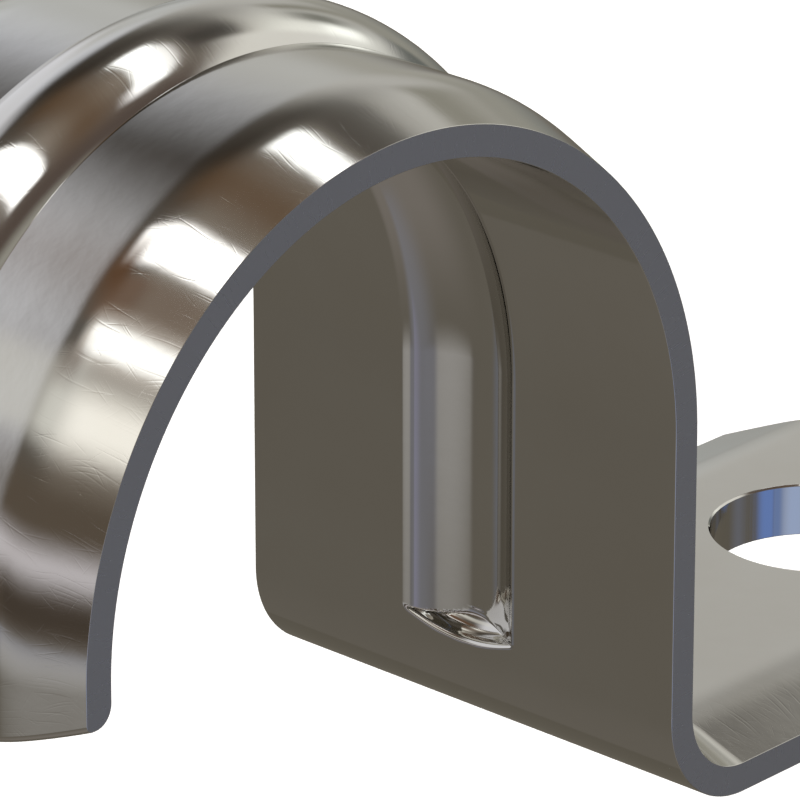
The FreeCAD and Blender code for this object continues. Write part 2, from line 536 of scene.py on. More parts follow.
        plain_runs = np.concatenate([foot_rows, last_rows])
        flat = np.stack(
            [plain_runs, np.broadcast_to(across, plain_runs.shape), np.zeros_like(plain_runs)], -1
        )
        upward = np.broadcast_to([0.0, 0.0, 1.0], flat.shape)
        spots = np.concatenate([hook_spots, arch_spots, leg_spots, flat])
        normal = np.concatenate([hook_normal, arch_normal, leg_normal, upward])
        if outer:
            steep = self.section.steepness(spots[..., 1])
            spots[..., 2] += self.section.thickness(spots[..., 1])
            normal = normal + np.stack([0 * steep, -steep * normal[..., 2], 0 * steep], -1)
            normal /= np.linalg.norm(normal, axis=-1, keepdims=True)
            return spots, normal
        return spots, -normal

    def straight_rows(self, rib: PressedRib, across: Array, runs: Array) -> tuple[Array, Array]:
        """Lay out rows where the rib keeps one cross-section.

        Args:
            rib: The bead or the hollow.
            across: Distance of each column from the middle.
            runs: Run of each row, as a column vector.

        Returns:
            Points as run, across and height over the face, and their normals.
        """
        single = np.stack([np.full_like(across, FAR_UP), across, rib.crown(across)], -1)
        _, slope = rib.slope_of(single, 0.0)
        slope = slope / np.linalg.norm(slope, axis=-1, keepdims=True)
        height = np.where(np.abs(across) > rib.clear_half, 0.0, single[:, 2])
        run = runs * np.ones_like(across)
        spots = np.stack([run, np.broadcast_to(across, run.shape), np.broadcast_to(height, run.shape)], -1)
        return spots, np.broadcast_to(slope, spots.shape).copy()

    def tip_run(self, across: Array, radius: float) -> Array:
        """Run of the hook's tip outline, drawn with a smaller radius for its roundings."""
        centre = self.hook_end_radius - self.hook_drop
        return centre - np.sqrt(radius**2 - across**2)

    def foot_end_run(self, across: Array, radius: float) -> Array:
        """Run of the foot's end outline, drawn with a smaller radius for its roundings."""
        centre = self.foot_reach - self.foot_end_radius
        return self.path.foot_run(centre + np.sqrt(radius**2 - across**2))

    def tip_strip(self, across: Array) -> tuple[Array, Array]:
        """Lay out the hook's trimmed tip, from the pipe side to the outer side."""
        turns = [(Side.PIPE, a) for a in np.linspace(0, 90, 10)[1:]]
        turns += [(Side.OUTER, a) for a in np.linspace(90, 0, 6)[:-1]]
        centre = self.hook_end_radius - self.hook_drop
        rows = [self.trimmed_row(across, side, turn, centre, -1) for side, turn in turns]
        return np.stack([row[0] for row in rows]), np.stack([row[1] for row in rows])

    def foot_strip(self, across: Array) -> tuple[Array, Array]:
        """Lay out the foot's sheared end, from the outer side to the wall side."""
        turns = [(Side.OUTER, a) for a in (30, 60, 90)] + [(Side.PIPE, a) for a in (90, 60, 30)]
        centre = self.path.foot_run(self.foot_reach - self.foot_end_radius)
        rows = [self.trimmed_row(across, side, turn, centre, 1) for side, turn in turns]
        return np.stack([row[0] for row in rows]), np.stack([row[1] for row in rows])

    def trimmed_row(
        self, across: Array, side: Side, turn: float, centre: float, way: int
    ) -> tuple[Array, Array]:
        """Lay out one row of the rounding between a broad face and a trimmed end.

        Args:
            across: Distance of each column from the middle.
            side: The broad face that the rounding leaves.
            turn: Angle turned from that face towards the end, in degrees.
            centre: Run of the end outline's centre.
            way: 1 where the end looks along the run, -1 where it looks back.

        Returns:
            Points as run, across and height over the pipe side, and outward normals.
        """
        outline = self.foot_end_radius if way > 0 else self.hook_end_radius
        tip_round = self.hook_outer_round if side is Side.OUTER else self.hook_pipe_round
        rounding = self.edge_round if way > 0 else tip_round
        rise, lean = math.cos(math.radians(turn)), math.sin(math.radians(turn))
        radius = outline - rounding * (1 - lean)
        depth = np.sqrt(radius**2 - across**2)
        drop = rounding * (1 - rise)
        outer = side is Side.OUTER
        height = self.section.thickness(across) - drop if outer else drop + 0 * across
        face = np.stack([0 * across, -self.section.steepness(across), 1 + 0 * across], -1)
        face /= np.linalg.norm(face, axis=-1, keepdims=True)
        if not outer:
            face = np.broadcast_to([0.0, 0.0, -1.0], face.shape)
        end = np.stack([way * depth / radius, across / radius, 0 * across], -1)
        normal = rise * face + lean * end
        normal /= np.linalg.norm(normal, axis=-1, keepdims=True)
        return np.stack([centre + way * depth, across, height], -1), normal

    def hole_rings(self, outer: bool) -> list[tuple[float, float, float, float]]:
        """Profile of the screw hole from one broad face to the middle of its wall.

        Args:
            outer: True for the upper face, with its small bevel.

        Returns:
            Radius, height, and the normal's parts away from the axis and upwards.
        """
        wall = self.hole_radius
        if not outer:
            turns = [math.radians(a) for a in (0, 30, 60, 90)]
            b = self.edge_round
            return [
                (wall + b * (1 - math.sin(a)), b * (1 - math.cos(a)), -math.sin(a), -math.cos(a))
                for a in turns
            ]
        top, bevel = self.section.middle, self.hole_bevel
        nip = bevel / 7  # Size of the small rounding at each of the bevel's edges.
        slant = nip * math.sqrt(0.5)
        steps = [
            (wall + bevel + nip, top, 0.0),
            (wall + bevel, top - nip / 5, 22.5),
            (wall + bevel - slant, top - slant, 45.0),
            (wall + slant, top - bevel + slant, 45.0),
            (wall + nip / 5, top - bevel, 67.5),
            (wall, top - bevel - nip, 90.0),
        ]
        return [(r, h, -math.sin(math.radians(a)), math.cos(math.radians(a))) for r, h, a in steps]

    def closed_sheet(self) -> "SheetMesh":
        """Lay out the whole strap as one closed mesh.

        Returns:
            The mesh in millimetres, bent to shape, with its flat coordinates.
        """
        across = self.columns()
        outer, outer_normal = self.face(Side.OUTER, across)
        pipe, pipe_normal = self.face(Side.PIPE, across)
        foot, foot_normal = self.foot_strip(across)
        tip, tip_normal = self.tip_strip(across)
        flat = np.concatenate([outer, foot, pipe[::-1], tip])
        facing = np.concatenate([outer_normal, foot_normal, pipe_normal[::-1], tip_normal])
        where, normal = self.path.bend_sheet(flat, facing)
        parts = [self.edge_columns(where[:, 0], normal[:, 0], -1), (where, normal)]
        parts.append(self.edge_columns(where[:, -1], normal[:, -1], 1))
        where = np.concatenate([part[0] for part in parts], 1)
        normal = np.concatenate([part[1] for part in parts], 1)
        spare = parts[0][0].shape[1]
        flat = np.concatenate([flat[:, :1].repeat(spare, 1), flat, flat[:, -1:].repeat(spare, 1)], 1)
        mesh = SheetMesh(where.reshape(-1, 3), normal.reshape(-1, 3), flat.reshape(-1, 3))
        count, wide = flat.shape[:2]
        rows = len(outer)
        index = np.arange(count * wide).reshape(count, wide)
        body = index[np.r_[0:count, 0]]
        quads = np.stack([body[:-1, :-1], body[1:, :-1], body[1:, 1:], body[:-1, 1:]], -1)
        block_rows = self.block_rows(rows)
        first = spare + int(np.argmin(np.abs(across + self.block_half)))
        last = spare + int(np.argmin(np.abs(across - self.block_half)))
        keep = np.ones(quads.shape[:2], bool)
        keep[block_rows[0] : block_rows[1], first:last] = False
        pipe_rows = (2 * rows + len(foot) - 1 - block_rows[1], 2 * rows + len(foot) - 1 - block_rows[0])
        keep[pipe_rows[0] : pipe_rows[1], first:last] = False
        worn = np.full(quads.shape[:2], Dress.SHEET.value)
        worn[rows : rows + len(foot) - 1] = Dress.SHEARED.value
        worn[rows + len(foot) : 2 * rows + len(foot) - 1] = Dress.SHELTERED.value
        for dress in Dress:
            mesh.add_quads(quads[keep & (worn == dress.value)], dress)
        self.close_sides(mesh, index, rows, len(foot))
        self.drill(mesh, index, block_rows, pipe_rows, (first, last))
        return mesh

    def block_rows(self, rows: int) -> tuple[int, int]:
        """First and last row of the square that the hole is cut from."""
        last = rows - 1 - self.rows["foot_far"]
        return last - self.rows["block"], last

    def edge_columns(self, where: Array, normal: Array, way: int) -> tuple[Array, Array]:
        """Round the sheet's surface over into the sheared face at a long edge.

        Args:
            where: The outermost column of the surface, changed to meet the rounding.
            normal: Unit normals there.
            way: 1 at the edge towards +Y, -1 at the other.

        Returns:
            Points and normals of the rounding's columns, in order of rising Y.
        """
        side = np.array([0.0, float(way), 0.0])
        lean = (normal * side).sum(-1, keepdims=True)
        steady = np.sqrt(1 - lean**2)
        tangent = (side - lean * normal) / steady
        where += tangent * self.edge_round * lean / steady
        centre = where - self.edge_round * normal
        full = np.arccos(lean)
        points, normals = [], []
        for share in (1 / 3, 2 / 3, 1.0):
            facing = np.cos(full * share) * normal + np.sin(full * share) * tangent
            points.append(centre + self.edge_round * facing)
            normals.append(facing)
        order = slice(None) if way > 0 else slice(None, None, -1)
        return np.stack(points[order], 1), np.stack(normals[order], 1)

    @staticmethod
    def close_sides(mesh: "SheetMesh", index: Array, rows: int, foot_rows: int) -> None:
        """Close the two sheared long edges with flat faces.

        Args:
            mesh: Mesh to add to.
            index: Vertex numbers of the wrapped surface, rows by columns.
            rows: Rows of one broad face.
            foot_rows: Rows of the foot's end.
        """
        for column in (0, -1):
            ring = index[:, column]
            outer = ring[:rows]
            pipe = ring[rows + foot_rows : 2 * rows + foot_rows][::-1]
            ladder = np.stack([outer[:-1], outer[1:], pipe[1:], pipe[:-1]], -1)
            mesh.add_quads(ladder, Dress.SHEARED)
            mesh.add_polygon(ring[rows - 1 : rows + foot_rows + 1], Dress.SHEARED)
            mesh.add_polygon(np.r_[ring[2 * rows + foot_rows - 1 :], ring[0]], Dress.SHEARED)

    def drill(
        self,
        mesh: "SheetMesh",
        index: Array,
        outer_rows: tuple[int, int],
        pipe_rows: tuple[int, int],
        columns: tuple[int, int],
    ) -> None:
        """Fill the foot's open square round the screw hole and draw the hole's wall.

        Args:
            mesh: Mesh to add to.
            index: Vertex numbers of the wrapped surface, rows by columns.
            outer_rows: First and last row of the square on the upper face.
            pipe_rows: The same on the wall side, where rows run backwards.
            columns: First and last column of the square.
        """
        low, high = columns
        rims = []
        for outer, (top, bottom) in ((True, outer_rows), (False, pipe_rows)):
            square = index[top : bottom + 1, low : high + 1]
            if not outer:
                square = square[::-1]
            rim = np.concatenate([square[:-1, 0], square[-1, :-1], square[:0:-1, -1], square[0, :0:-1]])
            start = mesh.where[rim][:, :2] - [self.hole_reach, 0.0]
            angle = np.arctan2(start[:, 1], start[:, 0])
            spoke = np.stack([np.cos(angle), np.sin(angle)], -1)
            rings = self.hole_rings(outer)
            layers = [rim]
            for share in self.ring_shares:
                disc = start + share * (spoke * rings[0][0] - start)
                layers.append(self.add_ring(mesh, disc, rings[0][1], spoke, (0.0, 1.0 if outer else -1.0)))
            for radius, height, outwards, upwards in rings:
                layers.append(self.add_ring(mesh, spoke * radius, height, spoke, (outwards, upwards)))
            for near, far in zip(layers, layers[1:]):
                dress = Dress.SHEET if outer else Dress.SHELTERED
                mesh.add_quads(np.stack([near, np.roll(near, -1), np.roll(far, -1), far], -1), dress)
            rims.append(layers[-1])
        upper, lower = rims
        mesh.add_quads(np.stack([upper, np.roll(upper, -1), np.roll(lower, -1), lower], -1), Dress.SHELTERED)

    def add_ring(
        self, mesh: "SheetMesh", disc: Array, height: float, spoke: Array, lean: Span
    ) -> Array:
        """Add one ring of points round the hole.

        Args:
            mesh: Mesh to add to.
            disc: X and Y of the points, from the hole's axis.
            height: Height over the foot's underside.
            spoke: Unit vectors from the axis to the points.
            lean: The normal's parts away from the axis and upwards.

        Returns:
            Numbers of the new points.
        """
        level = np.full((len(disc), 1), height)
        where = np.hstack([disc + [self.hole_reach, 0.0], level - self.path.base_drop])
        normal = np.hstack([spoke * lean[0], np.full_like(level, lean[1])])
        run = self.path.foot_run(disc[:, :1] + self.hole_reach)
        return mesh.add_points(where, normal, np.hstack([run, disc[:, 1:], level]))


@dataclass
class SheetMesh:
    """Points, normals, flat coordinates and faces of the strap, in millimetres.

    A face whose normal runs along Y by more than cut_lean is part of a sheared long edge
    and is laid out by run and height, cut_shift away from the broad faces.
    """

    where: Array
    normal: Array
    flat: Array
    cut_lean: float = 0.98
    cut_shift: float = 40.0
    faces: list[Array] = field(default_factory=list)
    dresses: list[Dress] = field(default_factory=list)
    polygons: list[tuple[Array, Dress]] = field(default_factory=list)

    def add_points(self, where: Array, normal: Array, flat: Array) -> Array:
        """Add points and return their numbers."""
        first = len(self.where)
        self.where = np.vstack([self.where, where])
        self.normal = np.vstack([self.normal, normal])
        self.flat = np.vstack([self.flat, flat])
        return np.arange(first, len(self.where))

    def add_quads(self, quads: Array, dress: Dress) -> None:
        """Add four-sided faces with one finish."""
        self.faces.append(quads.reshape(-1, 4))
        self.dresses.append(dress)

    def add_polygon(self, corners: Array, dress: Dress) -> None:
        """Add one flat many-sided face."""
        self.polygons.append((corners, dress))

    def outwards(self, corners: Array) -> Array:
        """Turn each face so that it looks the way its points' normals do."""
        point = self.where[corners]
        across_one, across_two = point[:, 2] - point[:, 0], point[:, 3] - point[:, 1]
        faces_away = (np.cross(across_one, across_two) * self.normal[corners].sum(1)).sum(-1) < 0
        return np.where(faces_away[:, None], corners[:, ::-1], corners)

    def build(self, name: str, materials: list[bpy.types.Material]) -> bpy.types.Object:
        """Make the Blender object.

        Args:
            name: Name of the object and its mesh.
            materials: Finishes in the order of Dress.

        Returns:
            The object, linked to the scene.
        """
        quads = [self.outwards(quad) for quad in self.faces]
        dress = np.concatenate([np.full(len(q), d.value) for q, d in zip(quads, self.dresses)])
        rings = []
        for corners, finish in self.polygons:
            point = self.where[corners]
            turn = np.cross(point - point.mean(0), np.roll(point, -1, 0) - point.mean(0)).sum(0)
            rings.append(corners[::-1] if turn @ self.normal[corners].sum(0) < 0 else corners)
            dress = np.append(dress, finish.value)
        every = np.concatenate(quads)
        mesh = bpy.data.meshes.new(name)
        mesh.from_pydata(self.where * MM, [], every.tolist() + [ring.tolist() for ring in rings])
        for material in materials:
            mesh.materials.append(material)
        mesh.polygons.foreach_set("material_index", dress.astype(np.int32))
        mesh.polygons.foreach_set("use_smooth", np.ones(len(dress), bool))
        layer = mesh.uv_layers.new(name="sheet")
        corner = np.concatenate([every.ravel()] + rings)
        flat = self.flat[corner]
        cut = np.abs(self.normal[corner][:, 1:2]) > self.cut_lean
        spread = np.where(cut, flat[:, [0, 2]] + np.array([0.0, self.cut_shift]), flat[:, :2])
        layer.data.foreach_set("uv", spread.astype(np.float32).ravel())
        mesh.update()
        lengths = np.linalg.norm(self.normal, axis=1, keepdims=True)
        mesh.normals_split_custom_set_from_vertices(self.normal / lengths)
        return place(name, mesh)


def place(name: str, data: bpy.types.ID) -> bpy.types.Object:
    """Make an object of a mesh or a camera and link it to the scene."""
    thing = bpy.data.objects.new(name, data)
    bpy.context.scene.collection.objects.link(thing)
    return thing


def add_node(tree: Tree, kind: str, settings: Optional[dict] = None, **links: object) -> bpy.types.Node:
    """Add a node with its settings, input values and links.

    Args:
        tree: Node tree to add to.
        kind: Blender's name of the node type.
        settings: Values of the node's own properties.
        **links: Input name, with underscores for spaces, to a value or an output socket.

    Returns:
        The new node.
    """
    node = tree.nodes.new(kind)
    for key, value in (settings or {}).items():
        setattr(node, key, value)
    for key, value in links.items():
        name = key.replace("_", " ")
        socket = node.inputs[int(name[5:])] if name.startswith("input") else node.inputs[name]
        if isinstance(value, Socket):
            tree.links.new(value, socket)
        else:
            socket.default_value = value
    return node


def add_math(tree: Tree, operation: str, *values: object) -> Socket:
    """Add a math node for some values or sockets and give its result."""
    inputs = {f"input{number}": value for number, value in enumerate(values)}
    return add_node(tree, "ShaderNodeMath", {"operation": operation}, **inputs).outputs[0]


def add_ramp(tree: Tree, value: Socket, limits: Span, ends: Span, kind: str = "LINEAR") -> Socket:
    """Add a node that turns one span of values into another.

    Args:
        tree: Node tree to add to.
        value: The value to turn.
        limits: Where its span starts and ends. Values beyond stay at the ends.
        ends: The new values at those two places.
        kind: Blender's name of the way between them.

    Returns:
        The turned value.
    """
    span = {"From_Min": limits[0], "From_Max": limits[1], "To_Min": ends[0], "To_Max": ends[1]}
    return add_node(tree, "ShaderNodeMapRange", {"interpolation_type": kind}, Value=value, **span).outputs[0]


def add_noise(tree: Tree, where: Socket, scale: float, detail: float) -> bpy.types.Node:
    """Add flat noise with some patches per mm and some finer layers."""
    kind = {"noise_dimensions": "2D"}
    return add_node(tree, "ShaderNodeTexNoise", kind, Vector=where, Scale=scale, Detail=detail)


def new_material(name: str) -> tuple[bpy.types.Material, Tree]:
    """Make a material with an empty node tree."""
    material = bpy.data.materials.new(name)
    material.use_nodes = True
    material.node_tree.nodes.clear()
    return material, material.node_tree


def finish_metal(tree: Tree, **inputs: object) -> None:
    """Add a metal's shader with some inputs, and the output."""
    shader = add_node(tree, "ShaderNodeBsdfPrincipled", None, Metallic=1.0, **inputs)
    add_node(tree, "ShaderNodeOutputMaterial", None, Surface=shader.outputs["BSDF"])


@dataclass(frozen=True)
class StudioCamera:
    """Camera at the photograph's viewing angle, worked out from the strap's own edges.

    Angles are in degrees and lengths in millimetres. Clip is the nearest and farthest
    distance that it sees.
    """

    azimuth: float = 47.223
    elevation: float = 22.248
    distance: float = 203.83
    aim_right: float = 6.165
    aim_up: float = 2.346
    lens: float = 316.96
    sensor: float = 36.0
    clip: Span = (10.0, 5000.0)

    def build(self) -> bpy.types.Object:
        """Make the camera and give it to the scene."""
        turn, tilt = math.radians(self.azimuth), math.radians(self.elevation)
        right = Vector((math.cos(turn), -math.sin(turn), 0))
        ahead = Vector((math.sin(turn) * math.cos(tilt), math.cos(turn) * math.cos(tilt), -math.sin(tilt)))
        up = right.cross(ahead)
        eye = (right * self.aim_right + up * self.aim_up - ahead * self.distance) * MM
        data = bpy.data.cameras.new("camera")
        data.lens, data.sensor_width = self.lens, self.sensor
        data.clip_start, data.clip_end = self.clip[0] * MM, self.clip[1] * MM
        camera = place("camera", data)
        camera.matrix_world = Matrix.Translation(eye) @ Matrix((right, up, -ahead)).transposed().to_4x4()
        bpy.context.scene.camera = camera
        return camera


@dataclass(frozen=True)
class TentPanel:
    """One soft-edged panel of the light tent: a lamp behind the fabric, a card or a wall.

    Angles are in degrees as seen from the strap. Around is measured round the pipe's
    direction: 0 overhead, 90 towards the foot, -90 towards the hook. Along is measured
    along the pipe: 0 square to it, 90 towards +Y. Soft is the width of the faded edges.
    """

    name: str
    around: Span
    along: Span
    soft: Span
    colour: str
    strength: float = 1.0

    def cover(self, around: Array, along: Array) -> Array:
        """Work out how much of the panel is seen in some directions, from 0 to 1."""
        share = np.ones_like(around)
        for angle, limits, soft in zip((around, along), (self.around, self.along), self.soft):
            share = share * smooth_step((angle - limits[0]) / soft + 0.5)
            share = share * smooth_step((limits[1] - angle) / soft + 0.5)
        return share

    def light(self) -> Array:
        """Give the panel's linear red, green and blue."""
        return np.array(linear(self.colour)[:3]) * self.strength


# Later panels lie over earlier ones. Nearly all these numbers were made by a fitting program,
# and weren't chosen by hand. It compared the strap with the photo's pixels, moved the panels'
# angles, soft edges, colours and strengths, and added 12 of them itself. The other 34 were
# placed first. What the photo leaves open is plain grey.
PANELS: tuple[TentPanel, ...] = (
    TentPanel("ceiling", (-89.8, 60.3), (-60.0, 10.7), (2.5, 36.0), "A79E93"),
    TentPanel("ceiling olive", (-30.0, 47.4), (-60.0, -18.1), (9.7, 36.6), "665A53"),
    TentPanel("high back", (-81.1, 100.0), (40.7, 75.0), (2.7, 7.0), "F4F5FB"),
    TentPanel("right wall", (49.5, 130.0), (-50.0, 53.9), (30.4, 7.0), "CFCEC9"),
    TentPanel("right top", (19.4, 106.3), (53.0, 39.4), (2.5, 34.4), "CBE6FF", 2.22),
    TentPanel("dark card", (2.2, 33.8), (22.9, 46.7), (40.0, 15.3), "3D3730"),
    TentPanel("ceiling brown", (1.2, 13.3), (-28.2, 31.2), (22.2, 23.1), "6E543A"),
    TentPanel("ceiling brown left", (-32.5, -20.8), (3.4, 32.9), (4.5, 19.6), "836D5D"),
    TentPanel("strip4", (-62.8, -48.1), (-30.0, 21.5), (12.1, 40.0), "FFFCF4", 1.46),
    TentPanel("strip3", (-40.6, -34.2), (-31.4, 23.4), (3.5, 6.0), "F6FCFF", 3.0),
    TentPanel("strip2", (-17.6, -6.5), (-25.7, 33.1), (3.5, 6.0), "FFFFFF", 3.0),
    TentPanel("strip1", (20.3, 29.4), (-21.8, 17.3), (3.5, 6.0), "FCFFFF", 2.67),
    TentPanel("left dark", (-107.3, -67.2), (-40.0, 42.1), (15.0, 10.1), "685D51"),
    TentPanel("left light", (-91.7, -84.8), (-40.0, 45.0), (12.5, 6.0), "FCF8FE"),
    TentPanel("left dark fold", (-115.0, -105.1), (-40.0, 45.0), (2.8, 7.0), "9496A5"),
    TentPanel("left grey", (-129.3, -106.4), (-13.6, 28.7), (14.2, 7.0), "D2D1D1"),
    TentPanel("window right", (50.6, 76.4), (-30.2, 11.2), (20.6, 35.7), "FEFFF8", 1.3),
    TentPanel("floor left", (-188.6, -112.6), (-65.8, 68.6), (18.2, 7.0), "726D64"),
    TentPanel("floor under left", (-200.0, -96.0), (-90.0, -47.0), (24.0, 10.0), "A2A2A4"),
    TentPanel("ground right", (89.5, 200.0), (-71.6, 70.0), (40.0, 9.4), "6C675D"),
    TentPanel("slate card", (100.0, 138.1), (-46.8, -31.6), (8.6, 18.0), "777982"),
    TentPanel("gap by window right", (33.2, 47.1), (-9.0, 14.0), (6.3, 40.0), "191919"),
    TentPanel("ceiling brown fold", (-25.8, -10.9), (21.8, 39.7), (18.5, 13.3), "6E4F36"),
    TentPanel("window right low half", (42.5, 69.9), (-31.1, -5.2), (13.0, 7.0), "FFFEF8", 1.02),
    TentPanel("strip4 far end", (-61.5, -41.5), (18.0, 39.8), (8.1, 40.0), "FFFEF6", 1.04),
    TentPanel("floor middle left", (-183.0, -135.0), (-43.0, 25.4), (40.0, 40.0), "89837D"),
    TentPanel("blue card", (127.4, 180.0), (-76.0, -60.0), (16.5, 8.4), "7896D9"),
    TentPanel("pale blue card", (-188.4, -155.9), (-76.0, -52.5), (26.6, 7.1), "7D94C7"),
    TentPanel("grey-blue card", (-134.5, -100.0), (-46.0, -32.1), (9.7, 7.0), "938FA4"),
    TentPanel("low blue card", (-134.0, -104.0), (-47.0, -38.6), (9.0, 7.0), "B5AFC2"),
    TentPanel("far end left", (-185.0, -131.1), (59.6, 80.0), (9.8, 8.0), "76777D"),
    TentPanel("far end right", (150.0, 185.0), (62.0, 80.0), (20.0, 7.0), "87827D"),
    TentPanel("left seam", (-103.1, -92.3), (-3.6, 32.6), (12.2, 15.8), "4F463D"),
    TentPanel("near end ceiling", (-27.0, 16.6), (-54.8, -44.6), (8.0, 12.7), "B1AFA6"),
    TentPanel("strip1 near end", (19.3, 24.2), (-25.5, -16.6), (9.6, 7.0), "FFFEFF", 1.97),
    TentPanel("floor far left", (-160.1, -110.4), (-35.3, -25.0), (7.8, 40.0), "9397A7"),
    TentPanel("window right bar", (60.7, 83.7), (18.8, 25.4), (6.2, 7.0), "A09E93"),
    TentPanel("strip3 warm half", (-40.7, -34.1), (-4.0, 28.3), (12.7, 11.5), "FFF9F1", 1.62),
    TentPanel("gap by strip3", (-46.2, -40.0), (18.8, 37.4), (13.0, 12.5), "85776D"),
    TentPanel("right wall seam", (79.8, 99.8), (-2.0, 32.9), (7.8, 9.7), "787B77"),
    TentPanel("right wall top", (87.3, 106.6), (42.2, 48.9), (6.5, 8.2), "B5B7B4"),
    TentPanel("window right far edge", (65.5, 72.9), (-2.8, 9.9), (5.2, 7.3), "FDFFF9", 1.73),
    TentPanel("strip1 wide end", (27.0, 30.9), (-16.8, 9.7), (3.7, 11.5), "FFFFFF", 1.69),
    TentPanel("pale sky card", (-162.4, -122.0), (-64.5, -50.0), (16.5, 8.7), "B6C9F0"),
    TentPanel("window right top bar", (60.6, 73.2), (6.4, 16.7), (11.4, 7.9), "94948C"),
    TentPanel("right wall upper", (76.7, 90.8), (13.6, 42.2), (23.6, 7.0), "B0AEA3"),
)


@dataclass(frozen=True)
class LightTent:
    """Light tent round the strap: lamps behind its ceiling, pale walls and dark cards.

    It is all the light there is, and what the bright plating shows. The camera looks
    through it to the backdrop. Sizes are in mm, the step of its weave is in degrees.
    """

    radius: float = 1500.0
    weave: float = 1.0
    ground: str = "6A6660"

    def build(self) -> bpy.types.Object:
        """Make the tent, a sphere with its poles at the ends of the pipe's direction."""
        around = np.radians(np.arange(-180.0, 180.0, self.weave))
        along = np.radians(np.arange(-90.0 + self.weave, 90.0, self.weave))
        turn, lean = np.meshgrid(around, along)
        ring = np.cos(lean)
        where = np.stack([np.sin(turn) * ring, np.sin(lean), np.cos(turn) * ring], axis=-1)
        rows, columns = turn.shape
        first = np.arange(rows * columns).reshape(rows, columns)
        beside = np.roll(first, -1, axis=1)
        faces = np.stack([first[:-1], beside[:-1], beside[1:], first[1:]], axis=-1).reshape(-1, 4)
        mesh = bpy.data.meshes.new("light_tent")
        mesh.from_pydata((where.reshape(-1, 3) * self.radius * MM).tolist(), [], faces.tolist())
        glow = mesh.color_attributes.new("glow", "FLOAT_COLOR", "POINT")
        paint = np.ones((rows * columns, 4), np.float32)
        paint[:, :3] = self.light(np.degrees(turn).ravel(), np.degrees(lean).ravel())
        glow.data.foreach_set("color", paint.ravel())
        mesh.materials.append(self.fabric())
        tent = place("light_tent", mesh)
        tent.visible_camera = False
        return tent

    def light(self, around: Array, along: Array) -> Array:
        """Lay the panels over each other, the later ones on top."""
        seen = np.tile(np.array(linear(self.ground)[:3]), (len(around), 1))
        for panel in PANELS:
            share = panel.cover(around, along)[:, None]
            seen = seen * (1.0 - share) + panel.light() * share
        return seen

    @staticmethod
    def fabric() -> bpy.types.Material:
        """Make the glowing fabric, which sends out the light its threads carry."""
        material, tree = new_material("light tent fabric")
        material.cycles.emission_sampling = "NONE"
        glow = add_node(tree, "ShaderNodeVertexColor", {"layer_name": "glow"})
        shine = add_node(tree, "ShaderNodeEmission", None, Color=glow.outputs["Color"], Strength=1.0)
        add_node(tree, "ShaderNodeOutputMaterial", None, Surface=shine.outputs[0])
        return material


@dataclass(frozen=True)
class ScratchLayer:
    """One family of fine handling scratches that all lie about the same way.

    The turn is in degrees from the strap's run, sizes are in mm. The share is how many
    of the places where a scratch could be do have one. The widths are coarser than a real
    scratch's 0.01 to 0.02 mm, so that a picture of the whole strap still shows them.
    """

    turn: float
    length: float
    width: float
    share: float
    depth: float
    half_width: float = 0.48
    shift: float = 7.0

    def height(self, tree: Tree, spot: Socket) -> Socket:
        """Add the family's nodes.

        Args:
            tree: Node tree that gets the nodes.
            spot: Place on the sheet in mm.

        Returns:
            Height of the surface in mm, below 0 in a scratch.
        """
        turned = add_node(
            tree,
            "ShaderNodeMapping",
            {"vector_type": "TEXTURE"},
            Vector=spot,
            Location=(self.turn, self.length * self.shift, 0.0),
            Rotation=(0.0, 0.0, math.radians(self.turn)),
            Scale=(self.length, self.width, 1.0),
        ).outputs[0]
        cell = add_node(
            tree, "ShaderNodeTexVoronoi", {"voronoi_dimensions": "2D"}, Vector=turned, Scale=1.0
        ).outputs
        stroke = add_ramp(tree, cell["Distance"], (0.0, self.half_width), (-self.depth, 0.0), "SMOOTHSTEP")
        chance = add_node(tree, "ShaderNodeSeparateColor", None, Color=cell["Color"]).outputs[0]
        picked = add_ramp(tree, chance, (0.0, self.share), (1.0, 0.0))
        return add_math(tree, "MULTIPLY", stroke, picked)


